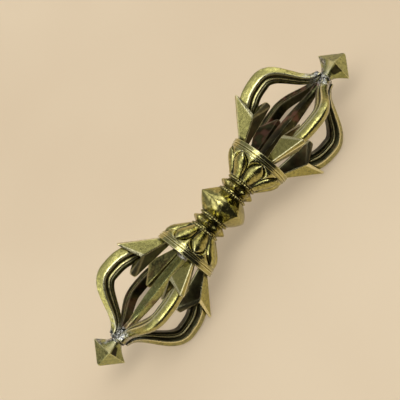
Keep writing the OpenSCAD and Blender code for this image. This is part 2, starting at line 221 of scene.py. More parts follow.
def relief_map(mesh, rounds):
    """How far each vertex stands above the surface smoothed by that many rounds, in millimetres."""
    count = len(mesh.vertices)
    flat = np.empty(count * 3)
    mesh.vertices.foreach_get("co", flat)
    start = flat.reshape(-1, 3) / MM
    mesh.vertices.foreach_get("normal", flat)
    normals = flat.reshape(-1, 3).copy()
    ends = np.empty(len(mesh.edges) * 2, dtype=np.int32)
    mesh.edges.foreach_get("vertices", ends)
    a, b = ends.reshape(-1, 2).T
    degree = np.maximum(np.bincount(a, minlength=count) + np.bincount(b, minlength=count), 1)
    smooth = start.copy()
    for _ in range(rounds):
        for axis in range(3):
            column = smooth[:, axis].copy()
            around = np.bincount(a, column[b], count) + np.bincount(b, column[a], count)
            smooth[:, axis] = 0.5 * column + 0.5 * around / degree
    return ((start - smooth) * normals).sum(axis=1)


def add_object(name, data):
    obj = bpy.data.objects.new(name, data)
    bpy.context.scene.collection.objects.link(obj)
    return obj


def store(mesh, name, shares):
    layer = mesh.attributes.new(name, "FLOAT", "POINT")
    layer.data.foreach_set("value", np.clip(shares, 0, 1).astype(np.float32))


# Unevenness of a filed casting: the sizes of its broad and its fine waves, and the height of the fine ones
BROAD_WAVE, FINE_WAVE, FINE_HEIGHT = 2.6, 0.8, 0.35
# Height and size of the lumps of tin on the ends of the arms, and how much the tin swells all over
TIN_LUMP, TIN_LUMP_SIZE, TIN_SWELL = 0.22, 1.1, 0.4
# Sizes of the patches of dark skin, red oxide and tin
SKIN_PATCH, RED_PATCH, TIN_PATCH = 1.7, 2.2, 1.5
SKIN_PATCH_SHARE = 0.12
TIN_GAIN = 1.6
# Painted shade: how dark the faces that look down are made
UNDERSIDE_PAINTED_SHADE = 0.45


def make_piece(name, shells, node, material, uneven, seed, groove_rounds, groove_depth, edge_wear=1.0):
    """One visible piece from closed shells (points, faces, shares), made uneven as a filed casting is.

    The shares say where the metal is casting skin or painted shade, rubbed bright, red oxide or run over with tin.
    Grooves are darkened as painted shade and casting skin, and edges are rubbed where they leave the surface,
    smoothed by groove_rounds, by about groove_depth. Faces that look down are darkened as painted shade.
    """
    points = np.concatenate([s[0] for s in shells])
    faces, start = [], 0
    for shell in shells:
        faces += [tuple(i + start for i in f) for f in shell[1]]
        start += len(shell[0])

    def share(key):
        return np.concatenate([np.broadcast_to(s[2].get(key, 0.0), len(s[0])) for s in shells])

    mesh = bpy.data.meshes.new(name)
    mesh.from_pydata([tuple(p) for p in points * MM], [], faces)
    bm = bmesh.new()
    bm.from_mesh(mesh)
    bmesh.ops.recalc_face_normals(bm, faces=bm.faces)
    bm.to_mesh(mesh)
    bm.free()
    normals = np.array([v.normal[:] for v in mesh.vertices])
    lift = uneven * (rough_noise(points, BROAD_WAVE, seed) + FINE_HEIGHT * value_noise(points, FINE_WAVE, seed + 11))
    lift += TIN_LUMP * share("tin") * (TIN_SWELL + rough_noise(points, TIN_LUMP_SIZE, seed + 13))
    mesh.vertices.foreach_set("co", ((points + normals * lift[:, None]) * MM).ravel())
    mesh.update()
    relief = relief_map(mesh, groove_rounds) / groove_depth
    # Painted shade and casting skin darken the grooves; edges that stand out are rubbed bright
    grooves = smoothstep(0.15, 1.0, -relief)
    edges = edge_wear * smoothstep(0.25, 1.0, relief)
    # Painted shade on the faces that look down
    underside = UNDERSIDE_PAINTED_SHADE * smoothstep(0.45, 0.95, -normals[:, 2])
    dark = np.maximum(np.maximum(share("dark"), grooves), underside)
    store(mesh, "dark", dark + SKIN_PATCH_SHARE * rough_noise(points, SKIN_PATCH, seed + 3))
    store(mesh, "bright", np.maximum(edges, share("bright")))
    store(mesh, "red", share("red") * smoothstep(-0.1, 0.55, rough_noise(points, RED_PATCH, seed + 7)))
    tinned = smoothstep(-0.5, 0.3, rough_noise(points, TIN_PATCH, seed + 9))
    store(mesh, "tin", share("tin") * TIN_GAIN * tinned)
    mesh.polygons.foreach_set("use_smooth", [True] * len(mesh.polygons))
    obj = add_object(name, mesh)
    mesh.materials.append(material)
    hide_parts(node)
    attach(obj, "root")


# Materials


class Nodes:
    """Short hand for building a node tree."""

    def __init__(self, tree):
        self.tree = tree

    def add(self, kind, **values):
        node = self.tree.nodes.new(kind)
        for key, value in values.items():
            setattr(node, key, value)
        return node

    def link(self, source, target):
        self.tree.links.new(source, target)

    def feed(self, target, value):
        if hasattr(value, "is_output"):
            self.link(value, target)
        else:
            target.default_value = value

    def attribute(self, name):
        return self.add("ShaderNodeAttribute", attribute_name=name).outputs["Fac"]

    def place(self):
        """Object coordinates in millimetres."""
        scale = self.add("ShaderNodeVectorMath", operation="SCALE")
        self.link(self.add("ShaderNodeTexCoord").outputs["Object"], scale.inputs[0])
        scale.inputs["Scale"].default_value = 1 / MM
        return scale.outputs[0]

    def noise(self, place, per_mm, detail, roughness=0.6):
        node = self.add("ShaderNodeTexNoise")
        self.link(place, node.inputs["Vector"])
        node.inputs["Scale"].default_value = per_mm
        node.inputs["Detail"].default_value = detail
        node.inputs["Roughness"].default_value = roughness
        return node.outputs["Fac"]

    def file_marks(self, place):
        """Fine noise drawn out along the object, as a file leaves it."""
        drawn = self.add("ShaderNodeVectorMath", operation="MULTIPLY")
        self.link(place, drawn.inputs[0])
        drawn.inputs[1].default_value = FILE_MARKS_PER_MM
        return self.noise(drawn.outputs[0], 1.0, 3)

    def cells(self, place, per_mm):
        node = self.add("ShaderNodeTexVoronoi")
        self.link(place, node.inputs["Vector"])
        node.inputs["Scale"].default_value = per_mm
        return node.outputs["Distance"]

    def math(self, operation, a, b=0.0, clamp=False):
        node = self.add("ShaderNodeMath", operation=operation, use_clamp=clamp)
        self.feed(node.inputs[0], a)
        self.feed(node.inputs[1], b)
        return node.outputs[0]

    def times(self, a, b):
        return self.math("MULTIPLY", a, b)

    def plus(self, a, b, clamp=False):
        return self.math("ADD", a, b, clamp)

    def ramp(self, value, low, high, out_low=0.0, out_high=1.0):
        """out_low up to low, out_high from high on, and eased between them."""
        node = self.add("ShaderNodeMapRange", interpolation_type="SMOOTHSTEP")
        self.link(value, node.inputs["Value"])
        for key, number in (("From Min", low), ("From Max", high), ("To Min", out_low), ("To Max", out_high)):
            node.inputs[key].default_value = number
        return node.outputs["Result"]

    def mix(self, share, a, b):
        node = self.add("ShaderNodeMix", data_type="RGBA")
        self.feed(node.inputs["Factor"], share)
        for socket, value in ((node.inputs[6], a), (node.inputs[7], b)):
            self.feed(socket, value if hasattr(value, "is_output") else (*value, 1))
        return node.outputs[2]

    def bump(self, height, depth, normal=None):
        """Normals of a surface that rises by depth, in millimetres, as the height goes from 0 to 1."""
        node = self.add("ShaderNodeBump")
        node.inputs["Distance"].default_value = depth * MM
        self.link(height, node.inputs["Height"])
        if normal is not None:
            self.link(normal, node.inputs["Normal"])
        return node.outputs["Normal"]


def new_material(name):
    material = bpy.data.materials.new(name)
    material.use_nodes = True
    return material, Nodes(material.node_tree), material.node_tree.nodes["Principled BSDF"]


# Near-black casting skin, which also serves as painted shade
SKIN_AND_PAINTED_SHADE = (0.030, 0.027, 0.014)
GREEN_SKIN_AND_PAINTED_SHADE = (0.070, 0.068, 0.030)
RUBBED_EDGE = (0.97, 0.91, 0.56)
RED_OXIDE = (0.16, 0.052, 0.026)
TIN_DULL = (0.085, 0.088, 0.086)
TIN_BRIGHT = (0.72, 0.72, 0.69)
TIN_DIRT = (0.05, 0.047, 0.032)
TIN_SOOT = (0.025, 0.022, 0.012)
# Fineness of the brass's clouds, mottle, grain and pits, and of file marks along and across the object
CLOUDS_PER_MM, MOTTLE_PER_MM, GRAIN_PER_MM, PITS_PER_MM = 0.28, 1.3, 7.0, 1.1
FILE_MARKS_PER_MM = (0.5, 5.0, 5.0)
# Depths of the brass's mottle, grain, file marks and pits
MOTTLE_DEPTH, GRAIN_DEPTH, FILE_DEPTH, PIT_DEPTH = 0.05, 0.012, 0.014, 0.06
# Fineness and depths of the solder's flow and of its grain
FLOW_PER_MM, TIN_GRAIN_PER_MM = 0.9, 5.0
FLOW_DEPTH, TIN_GRAIN_DEPTH = 0.40, 0.12


def brass(name, colour, tarnish, roughness, grain=1.0, pits=0.5, worn_rough=0.04):
    """Brass that is filed and polished where hands reach, with dark casting skin, painted shade and red oxide
    elsewhere.
    """
    material, n, shader = new_material(name)
    place = n.place()
    clouds = n.noise(place, CLOUDS_PER_MM, 5)
    mottle = n.noise(place, MOTTLE_PER_MM, 6, 0.65)
    fine = n.noise(place, GRAIN_PER_MM, 3)
    pit = n.ramp(n.cells(place, PITS_PER_MM), 0.05, 0.16, 1, 0)
    pit = n.times(n.times(pit, n.ramp(clouds, 0.50, 0.66)), pits)
    dark = n.plus(n.attribute("dark"), n.times(n.plus(mottle, -0.5), 0.45), clamp=True)
    bright, red = n.attribute("bright"), n.attribute("red")
    polished = n.mix(n.ramp(mottle, 0.37, 0.64), colour, tarnish)
    # The dark of casting skin and of painted shade
    cast = n.mix(n.ramp(clouds, 0.35, 0.65), SKIN_AND_PAINTED_SHADE, GREEN_SKIN_AND_PAINTED_SHADE)
    base = n.mix(n.ramp(dark, 0.30, 0.72), polished, cast)
    base = n.mix(n.times(red, 0.85), base, RED_OXIDE)
    base = n.mix(pit, base, SKIN_AND_PAINTED_SHADE)
    base = n.mix(n.times(bright, n.ramp(fine, 0.35, 0.6, 0.5, 0.95)), base, RUBBED_EDGE)
    tinned = n.mix(n.ramp(mottle, 0.40, 0.62), TIN_DULL, TIN_BRIGHT)
    base = n.mix(n.attribute("tin"), base, tinned)
    n.link(base, shader.inputs["Base Color"])
    rough = n.ramp(mottle, 0.25, 0.75, roughness - 0.03, roughness + 0.08)
    rough = n.plus(rough, n.times(dark, 0.16))
    rough = n.plus(rough, n.times(bright, worn_rough))
    n.link(rough, shader.inputs["Roughness"])
    n.link(n.ramp(red, 0.2, 0.9, 1.0, 0.35), shader.inputs["Metallic"])
    normal = n.bump(fine, GRAIN_DEPTH * grain)
    normal = n.bump(n.file_marks(place), FILE_DEPTH * grain, normal)
    normal = n.bump(mottle, MOTTLE_DEPTH * grain, normal)
    normal = n.bump(n.math("SUBTRACT", 1.0, pit), PIT_DEPTH, normal)
    n.link(normal, shader.inputs["Normal"])
    return material


def solder(name):
    """Tin solder that has run and set in lumps: dull grey with bright glints."""
    material, n, shader = new_material(name)
    place = n.place()
    flow = n.noise(place, FLOW_PER_MM, 5)
    fine = n.noise(place, TIN_GRAIN_PER_MM, 4)
    base = n.mix(n.ramp(flow, 0.40, 0.54), TIN_DULL, TIN_BRIGHT)
    base = n.mix(n.ramp(fine, 0.58, 0.72), base, TIN_DIRT)
    base = n.mix(n.times(n.attribute("dark"), 0.8), base, TIN_SOOT)
    n.link(base, shader.inputs["Base Color"])
    n.link(n.ramp(flow, 0.35, 0.65, 0.34, 0.10), shader.inputs["Roughness"])
    shader.inputs["Metallic"].default_value = 1.0
    normal = n.bump(fine, TIN_GRAIN_DEPTH, n.bump(flow, FLOW_DEPTH))
    n.link(normal, shader.inputs["Normal"])
    return material


PRONG_BRASS = brass("prong_brass", (0.47, 0.435, 0.148), (0.29, 0.27, 0.092), 0.22, worn_rough=0.06)
FINIAL_BRASS = brass("finial_brass", (0.45, 0.47, 0.185), (0.26, 0.275, 0.105), 0.22, grain=1.4, pits=0.9,
                     worn_rough=0.25)
LOTUS_BRASS = brass("lotus_brass", (0.52, 0.48, 0.165), (0.26, 0.240, 0.080), 0.06, grain=1.6, pits=0.9)
COLLAR_BRASS = brass("collar_brass", (0.53, 0.475, 0.17), (0.27, 0.24, 0.085), 0.07, grain=1.5, pits=0.9)
RIM_BRASS = brass("rim_brass", (0.51, 0.475, 0.19), (0.30, 0.28, 0.11), 0.07, grain=0.8, worn_rough=0.30)
BEAD_BRASS = brass("bead_brass", (0.51, 0.465, 0.17), (0.31, 0.28, 0.095), 0.05, grain=0.55)
ROD_BRASS = brass("rod_brass", (0.46, 0.40, 0.14), (0.34, 0.30, 0.11), 0.35)
SOLDER = solder("tin_solder")


# Hub


BEAD_SIDE_STEPS = 60
# The pearls of the thin rings and the lobes of the thick one: how many, the height between them and their own
PEARLS, PEARL_LOW, PEARL_RELIEF = 30, 0.66, 0.34
LOBE_LOW, LOBE_RELIEF = 0.58, 0.42
# Height and rounding of the thick ring's crest
CREST_TOP, CREST_EASE = 1.08, 0.28
# Radii to which the end faces of the hub's pieces are drawn in before they are capped
END_FACE_R, RIM_END_FACE_R = 2.0, 2.2


def bead_ring(x):
    """One ring of the bead: corners run straight from girdle to end, the bowed sides swell like a barrel."""
    from_girdle = (math.hypot(x, GIRDLE_EASE) - GIRDLE_EASE) / BEAD_END
    taper = BEAD_END_R - BEAD_GIRDLE_R
    corner_r = BEAD_GIRDLE_R + taper * from_girdle
    side_r = BEAD_SIDE_SHARE * (BEAD_GIRDLE_R + taper * from_girdle ** BARREL_POWER)
    across = np.linspace(-1, 1, BEAD_SIDE_STEPS, endpoint=False)
    height = corner_r * math.cos(math.pi / 4)
    height = height + (side_r - height) * (1 - np.abs(across) ** BOW_POWER)
    across = across * corner_r * math.sin(math.pi / 4)
    ring = []
    for k in range(4):
        turn = PETAL_TURN + k * math.pi / 2
        c, s = math.cos(turn), math.sin(turn)
        ring.append(np.stack([np.full(len(across), x), c * height - s * across, s * height + c * across], axis=1))
    return np.concatenate(ring)


def collar_radius(x, angles):
    """The collar: a thin ring of pearls at each end and a thick lobed ring in the middle."""
    middle = (BEAD_END + COLLAR_END) / 2
    r = np.full(len(angles), COLLAR_NECK_R)
    for ring_from in (BEAD_END, COLLAR_END - THIN_RING_LENGTH):
        t = (x - ring_from) / THIN_RING_LENGTH * 2 - 1
        if abs(t) < 1:
            pearls = PEARL_LOW + PEARL_RELIEF * np.abs(np.cos(PEARLS / 2 * angles))
            r = np.maximum(r, COLLAR_NECK_R + (THIN_RING_R - COLLAR_NECK_R) * math.sqrt(1 - t * t) * pearls)
    t = abs(x - middle) / (LOBED_RING_LENGTH / 2)
    if t < 1:
        lobe = 0.5 + 0.5 * np.cos(LOBES * (angles - PETAL_TURN))
        peak = (LOBED_RING_R - COLLAR_NECK_R) * (LOBE_LOW + LOBE_RELIEF * lobe)
        r = np.maximum(r, COLLAR_NECK_R + peak * (CREST_TOP - math.hypot(t, CREST_EASE)))
    return r


# Along the cup: half the width of a petal, as a share of its pitch, and the radii of the crests of petals and leaves
PETAL_SHARES = [0, 0.15, 0.3, 0.45, 0.6, 0.72, 0.82, 0.90, 0.94, 1.0]
PETAL_HALVES = [0.80, 0.88, 0.93, 0.94, 0.86, 0.70, 0.48, 0.22, 0.04, 0.02]
CREST_SHARES = [0, 0.12, 0.25, 0.5, 0.65, 0.82, 0.92, 1.0]
CREST_RADII = [5.0, 5.75, 6.70, 8.40, 9.10, 9.55, 9.50, 9.20]
LEAF_SHARES = [0, 0.42, 0.55, 0.7, 0.85, 0.95, 1.0]
LEAF_RADII = [4.3, 6.2, 7.55, 8.70, 9.45, 9.60, 9.55]
LEAF_GAP = 0.07
GROOVE_DEPTH = 0.5
CUP_FLARE_POWER = 0.9
PETAL_FULLNESS, LEAF_FULLNESS = 0.55, 0.6


def cup_groove(u):
    """Radius of the cup in the grooves between its petals, at a share u of its length."""
    plain = CUP_ROOT_R + (CUP_MOUTH_R - CUP_ROOT_R) * u ** CUP_FLARE_POWER
    return plain - GROOVE_DEPTH * np.sin(math.pi * np.minimum(0.5, u + 0.1)) * (1 - 0.4 * smoothstep(0.8, 1.0, u))


def cup_radius(x, angles):
    """The lotus cup: plump pointed petals with deep grooves beside them, and small leaves behind their tips."""
    u = max(0, (x - COLLAR_END) / (RIM_START - COLLAR_END))
    half = np.interp(u, PETAL_SHARES, PETAL_HALVES)
    pitch = 2 * math.pi / PETALS
    off = np.abs(((angles - PETAL_TURN) / pitch) % 1 * 2 - 1)
    groove = cup_groove(u)
    crest = np.interp(u, CREST_SHARES, CREST_RADII)
    petal = groove + (crest - groove) * np.clip(1 - (off / half) ** 2, 0, 1) ** PETAL_FULLNESS
    leaf_crest = max(groove, np.interp(u, LEAF_SHARES, LEAF_RADII))
    from_leaf = (1 - off) / max(1 - half - LEAF_GAP, 1e-3)
    leaf = groove + (leaf_crest - groove) * np.clip(1 - from_leaf ** 2, 0, 1) ** LEAF_FULLNESS
    return np.maximum(petal, leaf)


# The rim's edge: drop and hollow of its inner band, hollow of its outer band, depth and half width of the groove
# between them, rounding of its front edge, and its play inside the plate
RIM_INNER_DROP, RIM_INNER_HOLLOW, RIM_OUTER_HOLLOW = 0.22, 0.25, 0.07
RIM_GROOVE_DEPTH, RIM_GROOVE_HALF = 0.50, 0.14
RIM_ROUNDING = 0.22
RIM_PLAY = 0.02


def rim_profile():
    """Points (x, r) of the rim plate's edge, from its back face to its front face."""
    thickness = RIM_FACE - RIM_START
    groove = thickness - RIM_GROOVE_AT
    x = np.unique(np.concatenate([np.linspace(0, thickness, 30), np.linspace(groove - 0.3, groove + 0.3, 13),
                                  np.linspace(thickness - 0.25, thickness, 8), np.linspace(0, 0.25, 6)]))
    inner = RIM_INNER_DROP + RIM_INNER_HOLLOW * ((x - groove / 2) / (groove / 2)) ** 2
    middle, half = (groove + thickness) / 2, (thickness - groove) / 2
    outer = RIM_OUTER_HOLLOW * np.clip(1 - ((x - middle) / (half - 0.2)) ** 2, 0, 1)
    drop = np.where(x < groove, inner, outer)
    drop = np.maximum(drop, RIM_GROOVE_DEPTH * np.exp(-((x - groove) / RIM_GROOVE_HALF) ** 2))
    into_edge = np.maximum(0, RIM_ROUNDING - (thickness - x))
    drop = np.maximum(drop, RIM_ROUNDING - np.sqrt(np.maximum(0, RIM_ROUNDING ** 2 - into_edge ** 2)))
    return RIM_START + x, RIM_R - RIM_PLAY - drop


def bead_piece():
    stations = np.unique(np.concatenate([np.linspace(-BEAD_END, BEAD_END, 61), np.linspace(-0.6, 0.6, 17)]))
    vertices, faces = skin(closed_ends(np.array([bead_ring(x) for x in stations]), END_FACE_R))
    # Darkened where the bead meets the collars, as painted shade and casting skin
    ends = 0.75 * smoothstep(BEAD_END - 0.45, BEAD_END - 0.1, np.abs(vertices[:, 0]))
    make_piece("bead", [(placed(vertices, RIGHT), faces, {"dark": ends})], "centre_bead", BEAD_BRASS,
               uneven=0.05, seed=3, groove_rounds=6, groove_depth=0.25, edge_wear=0.4)


def collar_piece(end, side, seed):
    rings = turned_rings(np.linspace(BEAD_END, COLLAR_END, 54), collar_radius, even_angles(360))
    vertices, faces = skin(closed_ends(rings, END_FACE_R))
    r = np.hypot(vertices[:, 1], vertices[:, 2])
    # The collar's necks are darkened as painted shade and casting skin
    recess = smoothstep(THIN_RING_R + 0.7, THIN_RING_R - 0.2, r)
    from_end = np.minimum(vertices[:, 0] - BEAD_END, COLLAR_END - vertices[:, 0])
    pearls = smoothstep(THIN_RING_R - 0.28, THIN_RING_R - 0.05, r) * (from_end < THIN_RING_LENGTH)
    pearls = pearls * smoothstep(-0.1, 0.4, value_noise(vertices, 1.3, seed + 30))
    shares = {"dark": 0.44 * recess, "bright": 0.5 * pearls}
    make_piece(f"collar_{end}_cast", [(placed(vertices, side), faces, shares)], f"collar_{end}",
               COLLAR_BRASS, uneven=0.05, seed=seed, groove_rounds=12, groove_depth=0.16, edge_wear=0.5)


def cup_piece(end, side, seed):
    rings = turned_rings(np.linspace(COLLAR_END, RIM_START, 72), cup_radius, even_angles(400))
    vertices, faces = skin(closed_ends(rings, END_FACE_R))
    u = np.clip((vertices[:, 0] - COLLAR_END) / (RIM_START - COLLAR_END), 0, 1)
    # Painted shade and casting skin in the grooves between the petals and where the cup meets the rim
    recess = smoothstep(0.8, 0.12, np.hypot(vertices[:, 1], vertices[:, 2]) - cup_groove(u))
    recess = np.maximum(recess, 0.8 * smoothstep(0.95, 1.0, u))
    make_piece(f"lotus_{end}", [(placed(vertices, side), faces, {"dark": 1.1 * recess})], f"lotus_cup_{end}",
               LOTUS_BRASS, uneven=0.06, seed=seed, groove_rounds=24, groove_depth=0.14,
               edge_wear=0.35)


def rim_piece(end, side, seed):
    angles = even_angles(192)
    rings = np.array([turned_ring(x, r, angles) for x, r in zip(*rim_profile())])
    vertices, faces = skin(closed_ends(rings, RIM_END_FACE_R))
    x = vertices[:, 0]
    # The rim's front face, among the roots of the barbs, is darkened as painted shade and casting skin
    front = 0.55 * smoothstep(RIM_FACE - 0.1, RIM_FACE, x)
    line = RIM_FACE - RIM_GROOVE_AT
    worn = sum(np.exp(-((x - edge) / 0.13) ** 2) for edge in (RIM_FACE - 0.14, line + 0.28, line - 0.28))
    make_piece(f"rim_{end}", [(placed(vertices, side), faces, {"dark": front, "bright": 0.8 * worn})],
               f"rim_plate_{end}", RIM_BRASS, uneven=0.05, seed=seed, groove_rounds=8,
               groove_depth=0.08, edge_wear=0.0)


def hub_pieces():
    bead_piece()
    for seed, (end, side) in enumerate(SIDES.items(), start=20):
        collar_piece(end, side, seed)
        cup_piece(end, side, seed + 2)
        rim_piece(end, side, seed + 4)


# Prongs


def bezier(p, t):
    return (1 - t) ** 3 * p[0] + 3 * (1 - t) ** 2 * t * p[1] + 3 * (1 - t) * t ** 2 * p[2] + t ** 3 * p[3]


def bezier_slope(p, t):
    """Direction of the curve at t, not to any scale."""
    return (1 - t) ** 2 * (p[1] - p[0]) + 2 * (1 - t) * t * (p[2] - p[1]) + t ** 2 * (p[3] - p[2])


# The arm's middle line rises from the mouth's floor to the belly and falls from there to the neck. It grows from
# ROOT_SHARE of its section to the whole over the first ROOT_GROWTH of the rise.
ROOT_SINK, ROOT_PULL, ROOT_RISE = 0.6, 6.0, math.radians(42)
ROOT_SHARE, ROOT_GROWTH = 0.3, 0.45
BELLY_PULL_IN, BELLY_PULL_OUT, END_PULL = 6.0, 6.6, 6.5
ARM_ROOT = np.array([RIM_FACE + MOUTH_FLOOR_AT - ROOT_SINK, MOUTH_FLOOR_R - ROOT_SINK * 1.6])
ARM_BELLY = np.array([RIM_FACE + BELLY_AT, BELLY_R - ARM_DEPTH / 2])
ARM_END = np.array([PRONG_END, NECK_R + SLIP + ARM_END_DEPTH / 2])
RISE_LINE = [
    ARM_ROOT,
    ARM_ROOT + ROOT_PULL * np.array([math.cos(ROOT_RISE), math.sin(ROOT_RISE)]),
    ARM_BELLY - [BELLY_PULL_IN, 0],
    ARM_BELLY,
]
FALL_LINE = [ARM_BELLY, ARM_BELLY + [BELLY_PULL_OUT, 0], ARM_END - [END_PULL, 0], ARM_END]
RISE_STEPS, FALL_STEPS = 34, 54


# The crown of an arm: shares of the half width, and of the depth above the middle line.
# Most crowns are roofed and a little tarnished, and the two that lie in front on top are worn round.
ROOF_ACROSS = [0, 0.03, 0.06, 0.10, 0.20, 0.30, 0.40, 0.50, 0.60, 0.70, 0.78, 0.84, 0.89, 0.93, 0.96, 0.985, 1.0]
ROOF_HEIGHT = [0.5, 0.4982, 0.4932, 0.4829, 0.4512, 0.4167, 0.3808, 0.3439, 0.3063, 0.2679, 0.2367, 0.2122,
               0.1891, 0.1664, 0.1449, 0.1202, 0.0947]
ROOF_TARNISH = 0.38
ROUND_ACROSS = [0, 0.05, 0.10, 0.15, 0.20, 0.25, 0.30, 0.40, 0.50, 0.60, 0.70, 0.78, 0.85, 0.90, 0.94, 0.97, 0.988]
ROUND_HEIGHT = [0.5, 0.4994, 0.4975, 0.4939, 0.4877, 0.4791, 0.4690, 0.4458, 0.4186, 0.3872, 0.3533, 0.3247,
                0.2981, 0.2769, 0.2566, 0.2371, 0.216]
# The groove under the crown, the ridge below it, and the flat side and the inner face below that.
# Each point is (share of the depth above the middle line, share of the half width, dark share, bright share).
ROOF_GROOVE = [
    (0.078, 0.998, 0, 0.9), (0.060, 0.985, 0.3, 0.4), (0.044, 0.96, 0.8, 0), (0.026, 0.915, 0.95, 0),
    (0.008, 0.86, 1, 0), (-0.014, 0.80, 1, 0), (-0.040, 0.745, 1, 0), (-0.071, 0.71, 0.9, 0),
    (-0.100, 0.70, 0.75, 0), (-0.120, 0.71, 0.6, 0),
]
ROUND_GROOVE = [
    (0.196, 1.0, 0, 0.9), (0.176, 0.995, 0.2, 0.4), (0.160, 0.975, 0.7, 0), (0.142, 0.93, 0.9, 0),
    (0.122, 0.87, 0.95, 0), (0.095, 0.80, 1, 0), (0.055, 0.74, 1, 0), (0.010, 0.705, 0.95, 0),
    (-0.035, 0.695, 0.8, 0), (-0.080, 0.69, 0.65, 0), (-0.112, 0.70, 0.6, 0),
]
RIDGE = [
    (-0.138, 0.75, 0.4, 0), (-0.160, 0.82, 0.1, 0.6), (-0.180, 0.86, 0.0, 1), (-0.198, 0.85, 0.0, 0.9),
    (-0.216, 0.79, 0.4, 0.2), (-0.236, 0.70, 0.9, 0), (-0.256, 0.66, 1, 0), (-0.276, 0.68, 0.95, 0),
    (-0.296, 0.735, 0.7, 0.1), (-0.315, 0.76, 0.55, 0.35),
]
FLAT_SIDE = [(-0.33975 - 0.033 * k, 0.7525 - 0.01 * k, 0.5875 + 0.05 * k, 0) for k in range(5)]
INNER_FACE = [(-0.490, 0.69, 0.75, 0), (-0.498, 0.64, 0.8, 0), (-0.5, 0.55, 0.85, 0), (-0.5, 0.3, 0.85, 0)]
FACE_MIDDLE = (-0.5, 0.0, 0.85, 0)


def arm_half_section(across, height, groove, tarnish=0.0):
    """Half the section of an arm from the top of its crown to its inner face, as points like the groove's."""
    crown = []
    for w, d in zip(across, height):
        crown.append((d, w, tarnish * smoothstep(0.88, 0.76, w), smoothstep(0.84, 0.94, w)))
    return crown + groove + RIDGE + FLAT_SIDE + INNER_FACE


def arm_shell(half):
    """An arm along its middle line, with its dark and bright shares."""
    section = np.array(half + [FACE_MIDDLE] + [(d, -w, dark, bright) for d, w, dark, bright in half[:0:-1]])
    rings = []
    stations = [(RISE_LINE, t, 0.0) for t in np.linspace(0, 1, RISE_STEPS, endpoint=False)]
    stations += [(FALL_LINE, t, t) for t in np.linspace(0, 1, FALL_STEPS)]
    for line, t, taper in stations:
        share = 1.0 if line is FALL_LINE else ROOT_SHARE + (1 - ROOT_SHARE) * min(1.0, t / ROOT_GROWTH)
        depth = (ARM_DEPTH + (ARM_END_DEPTH - ARM_DEPTH) * taper) * share
        width = (ARM_WIDTH + (ARM_END_WIDTH - ARM_WIDTH) * taper) * share
        at, slope = bezier(line, t), bezier_slope(line, t)
        along = slope / np.linalg.norm(slope)
        rings.append(np.stack([
            at[0] - along[1] * section[:, 0] * depth,
            section[:, 1] * width / 2,
            at[1] + along[0] * section[:, 0] * depth,
        ], axis=1))
    vertices, faces = skin(rings)
    return vertices, faces, np.tile(section[:, 2], len(rings)), np.tile(section[:, 3], len(rings))


# A corner is rounded over no more than this share of the sides that meet in it
PATH_ROUND_LIMIT, RING_ROUND_LIMIT = 0.45, 0.42


def corner_path(points, rounds, steps):
    """Points along a line of corners, each inner corner rounded over its own reach, steps[k] to each run."""
    points = [np.array(p, float) for p in points]
    path, start = [], points[0]
    for k in range(1, len(points)):
        here = points[k]
        before = np.linalg.norm(here - points[k - 1])
        last = k == len(points) - 1
        after = 0 if last else np.linalg.norm(points[k + 1] - here)
        reach = 0 if last else min(rounds[k - 1], PATH_ROUND_LIMIT * before, PATH_ROUND_LIMIT * after)
        stop = here + (points[k - 1] - here) / before * reach
        path += [start + (stop - start) * t for t in np.linspace(0, 1, steps[k - 1], endpoint=last)]
        if not last:
            leave = here + (points[k + 1] - here) / after * reach
            path += [(1 - t) ** 2 * stop + 2 * t * (1 - t) * here + t * t * leave
                     for t in np.linspace(0, 1, 6, endpoint=False)]
            start = leave
    return np.array(path)


def rounded_ring(corners, values, reach, steps):
    """A closed ring round the corners, each rounded over a reach, with each side's value along it.

    The last result is 1 on the corners and 0 between them.
    """
    count = len(corners)
    ring, ring_values, ring_corners = [], [], []
    for k in range(count):
        before, here, after = corners[k - 1], corners[k], corners[(k + 1) % count]
        length_in, length_out = np.linalg.norm(here - before), np.linalg.norm(after - here)
        reach_in, reach_out = (min(reach, RING_ROUND_LIMIT * length) for length in (length_in, length_out))
        a = here + (before - here) / length_in * reach_in
        b = here + (after - here) / length_out * reach_out
        c = after + (here - after) / length_out * reach_out
        for t in np.linspace(0, 1, 5):
            ring.append((1 - t) ** 2 * a + 2 * t * (1 - t) * here + t * t * b)
            ring_values.append((1 - t) * values[k - 1] + t * values[k])
            ring_corners.append(1 - abs(2 * t - 1) ** 3)
        for t in np.linspace(0, 1, steps[k] + 2)[1:-1]:
            ring.append(b + (c - b) * t)
            ring_values.append(values[k])
            ring_corners.append(0)
    return np.array(ring), np.array(ring_values), np.array(ring_corners)


# Rings of the barb from its root to its lip, across the lip, and from there to the mouth's floor
BARB_RUNS = (26, 4, 9)
# Points on the barb's six sides: outer right, inner right, nose, inner left, outer left and crest
BARB_SIDE_STEPS = (12, 12, 2, 12, 12, 2)
# How dark each side is, and how far its lip is rubbed bright: the outer lip and its sides, little at the nose
BARB_SIDE_SKIN = (0, 1.0, 1.0, 1.0, 0, 0)
LIP_RUBBED = (1.0, 0.25, 0.1, 0.25, 1.0, 1.0)
MOUTH_SKIN = 0.55
# Rounding of the barb's ridges, and of the outer lip, the side lips and the nose at their front and inner edges
BARB_RIDGE_ROUNDING = 0.32
OUTER_LIP_ROUNDING, SIDE_LIP_ROUNDING, NOSE_ROUNDING = (0.42, 0.2), (0.45, 0.2), (0.9, 0.8)


